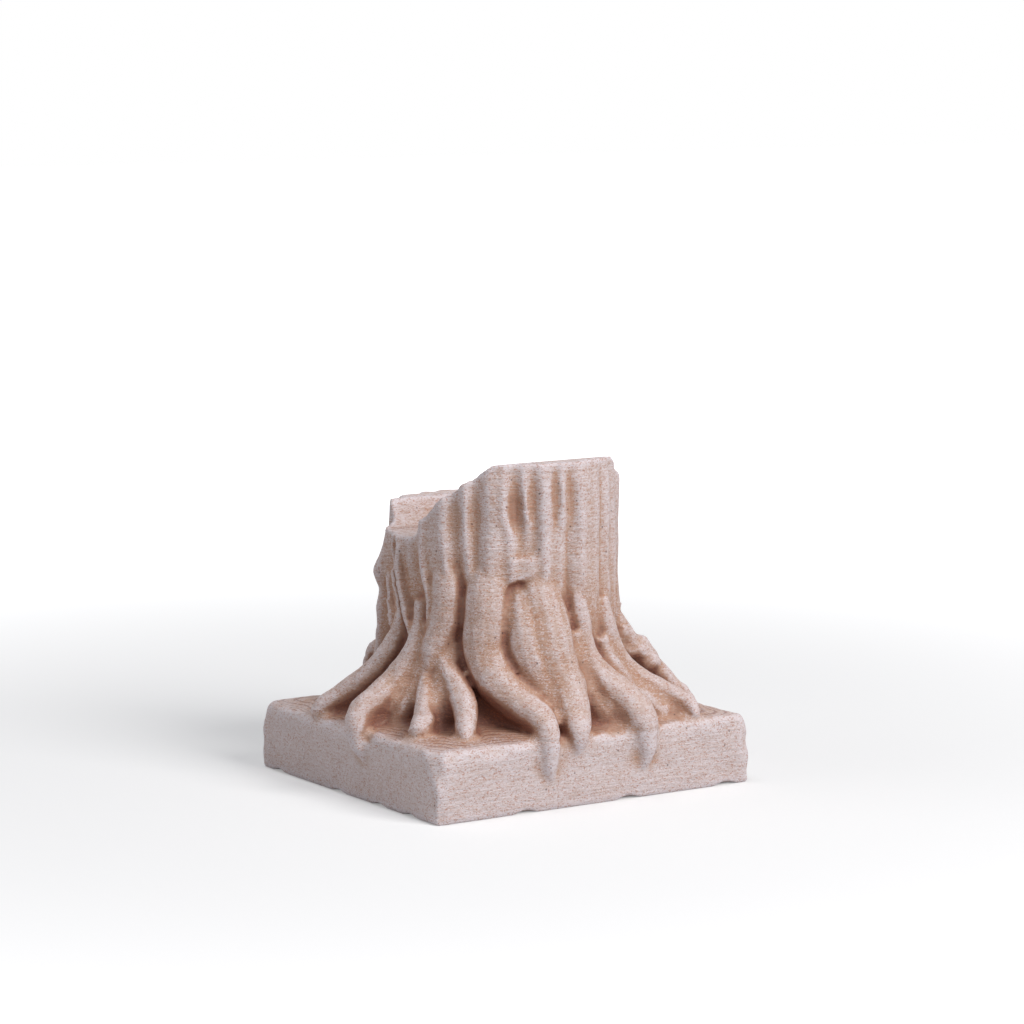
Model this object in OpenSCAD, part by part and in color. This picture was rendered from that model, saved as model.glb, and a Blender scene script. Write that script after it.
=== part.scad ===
// Desk stand, printed in one piece: a gnarled tree stump that grips a worn stone slab with its
// roots, and a slanted seat cut in the stump's top.
// Sizes are in millimetres. The origin is on the table, under the middle of the slab, +Z is up
// and the high backrest of the seat is on the -Y side.

/* [Slab] */
// Length of the slab along X
slab_x = 80; // [76:1:110]
// Depth of the slab along Y
slab_y = 72; // [70:1:100]
// Height of the slab's sides
slab_side = 15; // [11:0.5:24]
// Rise of the slab's domed top from its edge to the trunk
slab_dome = 1.5; // [0.5:0.1:3]
// Width of the worn rounding along the slab's top edge
edge_wear = 1.6; // [0.5:0.1:3]
// Bevel along the slab's bottom edge
foot_bevel = 0.3; // [0.2:0.1:0.8]
// Width of the flat along the slab's lower corners
corner_flat = 0.6; // [0.3:0.1:2]
// Reach of the facet that is broken off the slab's front corner
corner_break = 4.5; // [2:0.5:9]

/* [Trunk] */
// Radius of the trunk between its ridges and grooves
trunk_r = 24; // [21:0.2:27]
// Height of the stump's flat top above the table
stump_h = 71; // [66:1:74]
// How far the trunk's foot flares out
flare = 5; // [2:0.5:8]
// Height over which that flare fades away
flare_h = 7; // [4:0.5:12]
// Relief of a full bark ridge
bark = 2; // [0.5:0.1:3]
// Height of the smooth band under the stump's flat top
rim_band = 2; // [1:0.5:4]
// Relief of the healed scar on the trunk
scar_relief = 0.4; // [0.2:0.1:1]
// Width of that scar
scar_w = 5.6; // [4:0.2:8]

/* [Seat] */
// Height of the seat's floor above the table
seat_h = 54; // [52:1:60]
// Slope of the backrest against the horizontal
rest_angle = 42; // [38:1:60]
// Y at which the backrest meets the floor
rest_y = 0; // [-4:0.5:3]
// Depth of the seat's floor along Y
floor_d = 15; // [11:0.5:16]
// Height of the front lip above the floor
lip_h = 6; // [4:0.5:9]
// Slope of the lip's inner face against the horizontal
lip_angle = 65; // [50:1:80]
// Rounding where the floor meets the backrest and the lip
seat_round = 5; // [2:0.5:7]
// Rounding of the seat's upper edges
rim_round = 1; // [0.4:0.2:2]

/* [Roots] */
// Thickness and rise of every root, where 1 is as drawn
root_size = 1; // [0.8:0.05:1.2]
// Depth to which the feet of the roots are sunk in the slab
root_sink = 1; // [0.5:0.5:3]
// How far a root that hangs over the edge may stand proud of the slab's side
root_proud = 2.6; // [1.5:0.1:4]

/* [Chips] */
// Depth of the chips along the slab's bottom edges
chip_depth = 0.9; // [0.4:0.1:1.5]
// Radius of the round tool mark that each chip leaves
chip_r = 5; // [3:0.5:7]

/* [Hidden] */

wood = [0.83, 0.70, 0.63];
slab_h = slab_side + slab_dome;
trunk_rise = stump_h - slab_h;
skin = 0.1;
embed = 4;
root_facets = 12;
foot_share = 0.6;
foot_until = 0.9;
trunk_columns = 150;
trunk_rows = 15;
reach = 200;

// Bark strands of the trunk as [half width in degrees, stations], each station with
// [level, azimuth, relief]. The level is 0 at the slab and 1 at the top. The relief is a share
// of the bark's, and a strand with a negative relief is a groove.
strands = [
    // The left side
    [9, [[1, 146, 0.75], [0.7, 147, 0.75], [0.61, 147, 1.2], [0.52, 147, 1.8], [0.45, 147, 1.3],
         [0.38, 147, 1.6], [0.3, 147, 1.4], [0.05, 146, 1.2]]],
    [5, [[0.7, 162, 0.6], [0.6, 158, 0.5], [0.4, 158, 0.7], [0.3, 166, 0.6], [0.2, 170, 0]]],
    [5, [[1, 168, 0.4], [0.68, 169, 0.8], [0.56, 173, 0.9], [0.48, 177, 0.9], [0.38, 182, 0.9],
         [0.3, 187, 0.8], [0.2, 191, 0.1]]],
    [5, [[1, 191, 0.4], [0.75, 192, 0.6], [0.6, 193, 0.65], [0.54, 195, 0.65], [0.45, 199, 0.7],
         [0.38, 198, 0.7], [0.28, 192, 0.5], [0.2, 190, 0]]],
    // The column over the two-legged root
    [14, [[1, 203, 0.4], [0.7, 202, 0.55], [0.54, 204, 0.65], [0.45, 206, 0.75], [0.3, 205, 0.6],
          [0.15, 205, 0.2]]],
    [6, [[0.9, 205, 0.3], [0.7, 206, 0.45], [0.55, 210, 0.55], [0.46, 212, 0.65], [0.35, 210, 0.5],
         [0.26, 207, 0.2]]],
    [4, [[1, 213, -0.2], [0.54, 214, -0.45], [0.44, 217, -0.8], [0.15, 216, -0.5]]],
    [4.5, [[1, 217, 0.3], [0.85, 218, 0.6], [0.68, 219, 0.7], [0.57, 220, 0.5], [0.48, 220, 0]]],
    [4, [[1, 224, -0.35], [0.63, 224, -0.2], [0.54, 225, 0]]],
    // The column over the long root
    [11, [[1, 231, 0.6], [0.8, 231, 0.65], [0.6, 230, 0.8], [0.5, 229, 1], [0.36, 229, 0.9],
          [0.2, 229, 0.5]]],
    [4, [[1, 237, 0.4], [0.8, 237, 0.4], [0.7, 240, 0.4], [0.54, 239, 0.3], [0.43, 239, 0]]],
    [4, [[1, 242, -0.8], [0.8, 242, -0.75], [0.74, 243, -0.3], [0.69, 244, 0]]],
    [4, [[1, 247, 0.5], [0.8, 248, 0.45], [0.75, 249, 0.15], [0.72, 249, 0]]],
    [4, [[1, 251, -0.6], [0.86, 252, -0.65], [0.75, 252, -0.4], [0.69, 252, 0]]],
    // The column over the broad root
    [6, [[1, 257, 0.55], [0.8, 257.5, 0.55], [0.5, 258, 0.4], [0.3, 258, 0.2]]],
    [3.5, [[1, 264, -0.6], [0.86, 264, -0.6], [0.77, 264, -0.3], [0.72, 264, 0]]],
    [3.5, [[1, 267, 0.35], [0.8, 268, 0.3], [0.72, 268, 0]]],
    [4, [[1, 271, -0.5], [0.85, 273, -0.65], [0.75, 272, -0.7], [0.65, 270, -0.7],
         [0.47, 270, -0.55], [0.3, 270, -0.15]]],
    // The right side
    [15, [[1, 285, 0.5], [0.6, 285, 0.5], [0.25, 288, 0.25]]],
    [5, [[1, 278, 0.2], [0.6, 279, 0.25], [0.43, 279, 0]]],
    [3.5, [[1, 295, -0.3], [0.6, 295, -0.3], [0.43, 296, -0.1]]],
    [6, [[1, 301, 0.35], [0.35, 303, 0.3]]],
    [7, [[1, 312, 0.35], [0.43, 311, 0.45], [0.15, 309, 0.25]]],
    [10, [[1, 326, 0.3], [0.9, 326, 0.6], [0.6, 326, 0.35], [0.43, 324, 0.4], [0.3, 324, 0.7]]],
    // The far side
    [8, [[1, 341, 0.5], [0.6, 344, 0.7], [0.2, 342, 0.5]]],
    [6, [[1, 354, 0.7], [0.6, 351, 0.8], [0.3, 354, 0.4]]],
    [8, [[1, 5, 0.7], [0.7, 8, 0.9], [0.4, 6, 0.9], [0.1, 4, 0.5]]],
    [6, [[1, 19, 0.5], [0.6, 22, 0.6], [0.3, 20, 0.7]]],
    [9, [[1, 32, 0.8], [0.6, 30, 0.9], [0.3, 34, 0.7], [0.1, 36, 0.5]]],
    [6, [[1, 46, 0.6], [0.7, 49, 0.8], [0.4, 46, 0.5]]],
    [8, [[1, 60, 0.6], [0.6, 62, 0.9], [0.2, 60, 0.8]]],
    [7, [[1, 74, 0.7], [0.7, 72, 0.9], [0.4, 76, 0.7], [0.1, 78, 0.4]]],
    [8, [[1, 89, 0.5], [0.6, 92, 0.8], [0.3, 90, 0.8]]],
    [6, [[1, 103, 0.7], [0.6, 101, 0.8], [0.3, 104, 0.5]]],
    [9, [[1, 117, 0.7], [0.6, 120, 0.9], [0.2, 116, 0.8]]],
    [6, [[1, 131, 0.5], [0.7, 133, 0.8], [0.4, 131, 0.6], [0.2, 131, 0.3]]]
];

// Healed scar on the trunk: azimuth of its middle, and its lowest and highest level
scar = [247, 0.53, 0.63];

// Roots as lists of stations [azimuth, way, rise, thickness]. The way is 0 at the trunk's
// surface and 1 at the slab's edge in that direction, the rise is counted from the slab's top
// at the trunk, and the thickness is a radius. A rise below zero hangs over the slab's side.
roots = [
    // The long root that swings across the near side and drops over its edge
    [[229, -0.24, 36, 4.4], [229, -0.14, 31, 4.8], [228, -0.06, 26, 4.9], [228, -0.01, 20, 5],
     [228, 0.02, 16, 4.8], [230, 0.06, 12.5, 4.8], [234, 0.16, 9, 4.6], [240, 0.3, 6, 4.2],
     [246, 0.52, 3.7, 3.7], [250, 0.78, 1.7, 3.1], [251, 0.98, -1, 2.6], [251, 1, -4.5, 2.3],
     [251, 1, -7.5, 1.8], [252, 1, -10, 0.7]],
    // The broad root beside it, which ends at the slab's edge
    [[256, -0.4, 32, 5], [256, -0.27, 25, 6], [257, -0.14, 20, 6.3], [258, -0.04, 16, 6.4],
     [261, 0.12, 10, 6],
     [263, 0.38, 5.6, 5.2], [263, 0.72, 1.8, 4.1], [262, 1, -1, 2.8], [262, 1, -4, 1.6],
     [262, 1, -5.4, 0.7]],
    // Its hollow left flank, which runs in under the long root
    [[246, -0.36, 28, 5], [247, -0.12, 21, 5.4], [249, 0.04, 14, 5.4], [254, 0.17, 8, 5],
     [259, 0.42, 3.6, 4.2], [261, 0.68, 0.6, 3.4]],
    // The root that reaches to the right and drops over the edge
    [[278, -0.1, 28, 2.6], [279, -0.03, 20.5, 2.8], [279, 0.02, 16, 2.9], [281, 0.12, 11.5, 3.4],
     [284, 0.3, 7.6, 3.9], [287, 0.5, 4.8, 4.1], [289, 0.74, 2.2, 4.1], [289, 0.96, -0.6, 3.7],
     [289, 1, -3.6, 3], [289, 1, -6.8, 2.1], [288, 1, -10, 0.8]],
    // Two roots that run out to the right corner
    [[297, -0.1, 24, 2.8], [299, -0.02, 18, 3], [302, 0.05, 13, 3.1], [306, 0.15, 8.6, 3.1],
     [309, 0.3, 5.6, 3.1], [311, 0.46, 3.6, 2.9], [311, 0.64, 2, 2.5], [309, 0.82, 0.4, 1.9],
     [307, 0.94, -1, 1]],
    [[322, -0.1, 22, 2.6], [325, 0.03, 15.4, 3], [328, 0.13, 11.6, 3.1], [330, 0.25, 9, 3],
     [331, 0.38, 6.4, 2.9], [330, 0.52, 3.4, 2.6], [329, 0.64, 1, 2.1], [328, 0.75, -0.6, 1.4]],
    // The root with two legs at the front corner
    [[204, -0.16, 38, 3], [206, -0.07, 29, 3.8], [207, -0.05, 23, 4.2], [205, -0.02, 18.6, 4],
     [203, 0.02, 15, 3.9], [202, 0.07, 12, 3.5], [201, 0.18, 8.6, 2.4], [205, 0.36, 5, 2.2],
     [208, 0.5, 2.8, 2.3], [211, 0.66, 0.8, 2.6], [211, 0.78, -0.4, 2.2]],
    [[203, 0, 15.6, 3.2], [209, 0.08, 11.4, 2.9], [216, 0.17, 8.1, 2.7], [221, 0.27, 5.2, 2.7],
     [224, 0.41, 2.8, 2.5], [225, 0.55, 0.8, 2.2], [226, 0.68, -1, 1.2]],
    // The root that drops over the left side
    [[188, -0.12, 24, 2.4], [191, -0.02, 18, 2.8], [191, 0.05, 14, 3.2], [188, 0.17, 10, 3.6],
     [186, 0.36, 6.4, 3.7], [185, 0.62, 4, 3.5], [185, 0.88, 1.6, 3.1], [187, 1, -1.4, 2.6],
     [188, 1, -3.8, 2.2], [190, 1, -5.8, 1.7], [191, 1, -7.6, 0.7]],
    // Roots that run to the left side and to its far corner
    [[174, -0.12, 22, 3], [171, -0.02, 15.5, 3.3], [168, 0.14, 10.4, 3.4], [164, 0.36, 6, 3.3],
     [161, 0.6, 2.8, 3], [160, 0.83, 0.4, 2.4], [160, 0.98, -2, 1.4]],
    [[150, -0.1, 22, 2.8], [148, -0.04, 15.5, 3], [144, 0.02, 12.4, 3], [136, 0.11, 9.8, 3],
     [128, 0.24, 7, 2.9], [122, 0.4, 4.4, 2.7], [118, 0.58, 2, 2.3], [117, 0.74, -0.2, 1.3]],
    // Roots of the far side
    [[114, -0.14, 25, 3.4], [111, -0.04, 17, 3.7], [106, 0.14, 11, 3.9], [100, 0.4, 6.8, 3.8],
     [97, 0.7, 3.2, 3.4], [97, 0.96, 0.2, 2.9], [98, 1, -3.6, 2.6], [99, 1, -8, 1.9],
     [98, 1, -10.5, 0.8]],
    [[91, -0.16, 22, 3], [88, -0.06, 14, 3.3], [83, 0.16, 8.6, 3.5], [79, 0.48, 4.4, 3.1],
     [78, 0.78, 1.2, 2.4], [79, 0.96, -1.6, 1.2]],
    [[68, -0.16, 25, 3.6], [65, -0.06, 17, 3.9], [61, 0.12, 11.4, 4.1], [58, 0.36, 7.2, 3.9],
     [57, 0.64, 3.6, 3.5], [59, 0.92, 0.6, 2.9], [60, 1, -3, 2.6], [59, 1, -7, 0.9]],
    [[43, -0.14, 23, 3.1], [41, 0, 14.5, 3.3], [38, 0.2, 9, 3.2], [35, 0.44, 4.6, 2.8],
     [34, 0.64, 1.6, 2.3], [35, 0.8, -0.8, 1.1]],
    // Roots of the right side
    [[22, -0.14, 23, 3.4], [21, -0.02, 15.5, 3.7], [17, 0.16, 10.4, 3.8], [13, 0.42, 6.4, 3.6],
     [10, 0.74, 3, 3.2], [10, 0.97, -0.2, 2.8], [11, 1, -3.8, 2.6], [12, 1, -8.4, 0.9]],
    [[2, -0.12, 20, 3], [1, 0.02, 12.6, 3.1], [358, 0.26, 7.8, 3], [355, 0.55, 4, 2.7],
     [352, 0.82, 0.8, 2.2], [351, 0.98, -1.6, 1.1]],
    [[345, -0.12, 20, 3], [345, 0, 13, 3], [344, 0.2, 8.4, 2.9], [343, 0.44, 5, 2.8],
     [342, 0.68, 2, 2.4], [341, 0.86, -0.6, 1.4]],
    // Low flanks that fill the hollows beside the roots of the near side: beside the left drop,
    // between the two legs, beside the right drop and under the root to the right corner
    [[197, -0.06, 18, 3.6], [197, 0.05, 12, 3.6], [196, 0.2, 6.8, 3.6], [194, 0.38, 2.8, 3.6],
     [193, 0.56, -0.4, 2.6]],
    [[208, -0.05, 17, 4], [209, 0.05, 11, 4], [210, 0.17, 6.4, 4], [211, 0.31, 2.6, 3.8],
     [214, 0.45, -0.6, 2.6]],
    [[273, -0.04, 18, 3.4], [275, 0.08, 11, 3.6], [278, 0.26, 6, 3.7], [282, 0.48, 2.4, 3.5],
     [286, 0.7, 0.2, 3]],
    [[294, -0.02, 15.6, 3.4], [297, 0.11, 9.6, 3.6], [301, 0.27, 5.4, 3.6], [304, 0.46, 2.6, 3.2],
     [306, 0.66, 0.4, 2.6]]
];

// Chips along the slab's bottom edges as [side, place along it as a share of its half length]
chips = [["-y", 0.84], ["-y", 0.2], ["-y", -0.45], ["-x", 0.8], ["-x", 0.1], ["-x", -0.36],
         ["-x", -0.7], ["+y", 0.5], ["+y", -0.3], ["+x", 0.6], ["+x", -0.2]];

function total(v) = v * [for (x = v) 1];
function bump(turn, width) = abs(turn) < width ? pow(cos(90 * turn / width), 2) : 0;
function turn_between(a, b) = let (d = (a - b) % 360) d > 180 ? d - 360 : d < -180 ? d + 360 : d;
function ramp(x, from, to) = min(1, max(0, (x - from) / (to - from)));

// Azimuth and relief of every strand at one level, and the trunk's radius that they give
function strands_at(level) = [for (s = strands)
    [s[0], lookup(level, [for (p = s[1]) [p[0], p[1]]]), lookup(level, [for (p = s[1]) [p[0], p[2]]])]];
function trunk_at(az, level, slice) =
    trunk_r + flare * exp(-max(level, 0) * trunk_rise / flare_h)
    + bark * rim_fade(level) * total([for (s = slice) s[2] * bump(turn_between(az, s[1]), s[0])]);
function rim_fade(level) = 1 - 0.7 * ramp(level, 1 - rim_band / trunk_rise, 1);

// Distance from the middle to the slab's edge at one azimuth
function edge_at(az) = min(slab_x / 2 / max(abs(cos(az)), 0.001), slab_y / 2 / max(abs(sin(az)), 0.001));

module slab_layer(z, inset, cut) {
    dx = slab_x / 2 - inset;
    dy = slab_y / 2 - inset;
    translate([0, 0, z])
        linear_extrude(skin)
            polygon([[-dx + cut * 0.5, -dy], [dx - cut * 0.45, -dy], [dx, -dy + cut * 0.4],
                     [dx, dy - cut * 0.3], [dx - cut * 0.3, dy], [-dx + cut * 0.4, dy],
                     [-dx, dy - cut * 0.4], [-dx, -dy + cut]]);
}

module chip_at(side, share) {
    along_x = side[1] == "y";
    out = side[0] == "-" ? -1 : 1;
    half = along_x ? slab_x / 2 : slab_y / 2;
    edge = along_x ? slab_y / 2 : slab_x / 2;
    place = along_x ? [share * half, out * edge] : [out * edge, share * half];
    translate([place[0], place[1], chip_depth - chip_r])
        sphere(r = chip_r, $fn = 10);
}

module slab() {
    difference() {
        hull() {
            slab_layer(0, foot_bevel, corner_flat);
            slab_layer(2 * foot_bevel, 0, corner_flat);
            slab_layer(slab_side * 0.55, 0, corner_flat);
            slab_layer(slab_side - edge_wear, 0, corner_break);
            slab_layer(slab_side - edge_wear * 0.3, edge_wear * 0.3, corner_break);
            slab_layer(slab_side - skin, edge_wear, corner_break);
            translate([0, 0, slab_h - skin])
                linear_extrude(skin)
                    circle(r = trunk_r * 0.9, $fn = 24);
        }
        for (c = chips)
            chip_at(c[0], c[1]);
    }
}

module trunk() {
    over = embed / trunk_rise;
    band_from = 1 - rim_band / trunk_rise;
    rows_under = trunk_rows - 2;
    levels = [for (j = [0 : rows_under]) -over + j / rows_under * (band_from + over), 1, 1 + over];
    points = [for (level = levels) let (slice = strands_at(level)) for (i = [0 : trunk_columns - 1])
        let (az = i * 360 / trunk_columns, r = trunk_at(az, level, slice))
        [r * cos(az), r * sin(az), slab_h + level * trunk_rise]];
    sides = [for (j = [0 : trunk_rows - 1]) for (i = [0 : trunk_columns - 1])
        let (k = (i + 1) % trunk_columns, a = j * trunk_columns, b = a + trunk_columns)
        each [[a + i, b + i, b + k], [a + i, b + k, a + k]]];
    low = [for (i = [0 : trunk_columns - 1]) i];
    high = [for (i = [trunk_columns - 1 : -1 : 0]) trunk_rows * trunk_columns + i];
    polyhedron(points, concat([low], [high], sides));
}

// A plate of bark that stands out over the ridges at its sharp lower lip and fades upwards
module healed_scar() {
    rise = trunk_rise * (scar[2] - scar[1]);
    rotate([0, 0, scar[0]])
        translate([trunk_r - bark, -scar_w / 2, slab_h + scar[1] * trunk_rise])
            hull() {
                cube([bark + bark * 0.75 + scar_relief, scar_w, rise * 0.2]);
                translate([0, scar_w * 0.1, 0])
                    cube([bark + bark * 0.5, scar_w * 0.8, rise]);
            }
}

function way_radius(s) = trunk_r + s[1] * (edge_at(s[0]) - trunk_r);
function proud_limit(s) = edge_at(s[0]) * (1 + min(0, root_proud - s[3] * root_size) / (slab_y / 2));
function station_point(s, inward = 0, down = 0) =
    let (r = min(way_radius(s), proud_limit(s)) - inward)
    [r * cos(s[0]), r * sin(s[0]), slab_h + s[2] * root_size - down];

module root_station(s) {
    thick = s[3] * root_size;
    translate(station_point(s))
        sphere(r = thick, $fn = root_facets);
    sunk = s[1] < foot_until ? max(thick, s[2] * root_size + root_sink) : 0;
    translate(station_point(s, thick, sunk))
        sphere(r = thick * foot_share, $fn = 5);
}

module root(stations) {
    for (i = [0 : len(stations) - 2])
        hull() {
            root_station(stations[i]);
            root_station(stations[i + 1]);
        }
}

// The space of the seat and everything above the stump, as a cutter along X
module seat_cut() {
    rest_top = rest_y - (stump_h - seat_h) / tan(rest_angle);
    floor_y = rest_y + floor_d;
    lip_y = floor_y + lip_h / tan(lip_angle);
    rotate([90, 0, 90])
        linear_extrude(reach, center = true)
            offset(r = -rim_round)
                offset(delta = rim_round)
                    offset(r = seat_round)
                        offset(delta = -seat_round)
                            polygon([[-reach, stump_h], [rest_top, stump_h], [rest_y, seat_h],
                                     [floor_y, seat_h], [lip_y, seat_h + lip_h],
                                     [reach, seat_h + lip_h], [reach, stump_h + reach],
                                     [-reach, stump_h + reach]]);
}

module stump_stand() {
    color(wood)
        difference() {
            union() {
                slab();
                trunk();
                healed_scar();
                for (r = roots)
                    root(r);
            }
            seat_cut();
        }
}

stump_stand();
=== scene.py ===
# Desk stand printed in one piece: a gnarled tree stump that grips a worn slab with its roots.
import bmesh
import bpy
import math
import numpy as np
from mathutils import Matrix, Vector, noise
from mathutils.bvhtree import BVHTree


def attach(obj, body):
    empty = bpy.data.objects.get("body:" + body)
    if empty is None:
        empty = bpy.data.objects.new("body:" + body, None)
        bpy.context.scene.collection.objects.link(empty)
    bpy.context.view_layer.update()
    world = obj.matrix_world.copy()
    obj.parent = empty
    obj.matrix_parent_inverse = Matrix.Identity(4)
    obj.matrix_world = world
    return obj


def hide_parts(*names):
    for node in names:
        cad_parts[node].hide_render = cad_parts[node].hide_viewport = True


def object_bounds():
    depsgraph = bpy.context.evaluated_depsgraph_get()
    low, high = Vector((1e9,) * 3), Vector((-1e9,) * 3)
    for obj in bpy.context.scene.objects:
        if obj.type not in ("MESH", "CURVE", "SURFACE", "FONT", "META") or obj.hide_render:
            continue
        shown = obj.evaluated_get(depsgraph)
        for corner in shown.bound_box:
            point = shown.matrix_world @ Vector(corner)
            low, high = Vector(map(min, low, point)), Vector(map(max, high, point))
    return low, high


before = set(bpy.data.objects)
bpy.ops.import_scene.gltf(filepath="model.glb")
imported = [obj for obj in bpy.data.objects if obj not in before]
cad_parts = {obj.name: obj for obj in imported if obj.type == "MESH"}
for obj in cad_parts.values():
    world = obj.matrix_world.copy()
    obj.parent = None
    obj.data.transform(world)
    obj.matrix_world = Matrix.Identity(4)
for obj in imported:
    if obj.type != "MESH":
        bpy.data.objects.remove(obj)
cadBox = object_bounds()
scene = bpy.context.scene
mm = 0.001
print("frame loaded:", sorted(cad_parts))

# The camera, turned and raised as in the photograph, in degrees and millimetres
cameraView = {
    "azimuth": -33.5, "elevation": 7.8, "distance": 786, "right": 1.88, "up": 57.2,
    "lens": 126.5625, "sensor": 36, "near": 10,
}

turn = math.radians(cameraView["azimuth"])
tilt = math.radians(cameraView["elevation"])
rightWay = Vector((math.cos(turn), math.sin(turn), 0))
backWay = Vector((math.sin(turn) * math.cos(tilt), -math.cos(turn) * math.cos(tilt), math.sin(tilt)))
upWay = backWay.cross(rightWay)


def makeCamera():
    data = bpy.data.cameras.new("photoCamera")
    data.lens = cameraView["lens"]
    data.sensor_width = cameraView["sensor"]
    data.clip_start = cameraView["near"] * mm
    camera = bpy.data.objects.new("photoCamera", data)
    camera.location = mm * (cameraView["right"] * rightWay + cameraView["up"] * upWay
                            + cameraView["distance"] * backWay)
    camera.rotation_euler = backWay.to_track_quat("Z", "Y").to_euler()
    scene.collection.objects.link(camera)
    scene.camera = camera


makeCamera()


def newPiece(name, bm):
    mesh = bpy.data.meshes.new(name)
    bm.to_mesh(mesh)
    bm.free()
    piece = bpy.data.objects.new(name, mesh)
    scene.collection.objects.link(piece)
    return piece


def bake(piece):
    # Writes what the modifiers give into the mesh
    depsgraph = bpy.context.evaluated_depsgraph_get()
    mesh = bpy.data.meshes.new_from_object(piece.evaluated_get(depsgraph))
    piece.modifiers.clear()
    if piece.type == "MESH":
        piece.data = mesh
        return piece
    solid = bpy.data.objects.new(piece.name, mesh)
    scene.collection.objects.link(solid)
    bpy.data.objects.remove(piece)
    return solid


def ramp(value, low, high):
    share = min(1.0, max(0.0, (value - low) / (high - low)))
    return share * share * (3 - 2 * share)


def turnBetween(a, b):
    return (a - b + 180) % 360 - 180


# The slab, in millimetres
slabShape = {
    "length": 80, "depth": 72, "side": 15, "dome": 1.5, "domeRadius": 21.2, "domeCorners": 32,
    "footInset": 0.3, "footRise": 0.6, "edgeWear": 1.6, "wearRound": 0.3,
    # How much of the upright corners is broken off, low down and from a share of the side upwards
    "lowBreak": 0.6, "cornerBreak": 4.5, "breakFrom": 0.55,
    # The corners as (side in X, side in Y, share of the break along X, share along Y)
    "corners": [(-1, -1, 0.5, 1), (1, -1, 0.45, 0.4), (1, 1, 0.3, 0.3), (-1, 1, 0.4, 0.4)],
    "chipDepth": 0.9, "chipHalf": 3.4, "chipIn": 2.5, "chipBlunt": 1.2,
    # Chips along the bottom edge as (side, place along it)
    "chips": [("-y", 33.6), ("-y", 8), ("-y", -18), ("-x", 28.8), ("-x", 3.6), ("-x", -13),
              ("-x", -25.2), ("+y", 20), ("+y", -12), ("+x", 21.6), ("+x", -7.2)],
}
slabTop = slabShape["side"] + slabShape["dome"]
halfLength = slabShape["length"] / 2
halfDepth = slabShape["depth"] / 2


def slabOutline(inset, cut):
    dx = halfLength - inset
    dy = halfDepth - inset
    outline = []
    for xSide, ySide, alongX, alongY in slabShape["corners"]:
        outline.append((xSide * (dx - cut * alongX), ySide * dy))
        outline.append((xSide * dx, ySide * (dy - cut * alongY)))
    return outline


def makeSlab():
    bm = bmesh.new()
    side = slabShape["side"]
    wear = slabShape["edgeWear"]
    rounding = wear * slabShape["wearRound"]
    low = slabShape["lowBreak"]
    broken = slabShape["cornerBreak"]
    layers = [(0, slabShape["footInset"], low), (slabShape["footRise"], 0, low),
              (side * slabShape["breakFrom"], 0, low), (side - wear, 0, broken),
              (side - rounding, rounding, broken), (side, wear, broken)]
    for z, inset, cut in layers:
        for x, y in slabOutline(inset, cut):
            bm.verts.new((x * mm, y * mm, z * mm))
    dome = bmesh.ops.create_circle(bm, segments=slabShape["domeCorners"],
                                   radius=slabShape["domeRadius"] * mm)
    for vertex in dome["verts"]:
        vertex.co.z = slabTop * mm
    bmesh.ops.convex_hull(bm, input=bm.verts[:])
    bmesh.ops.recalc_face_normals(bm, faces=bm.faces[:])
    return newPiece("slab", bm)


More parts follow.
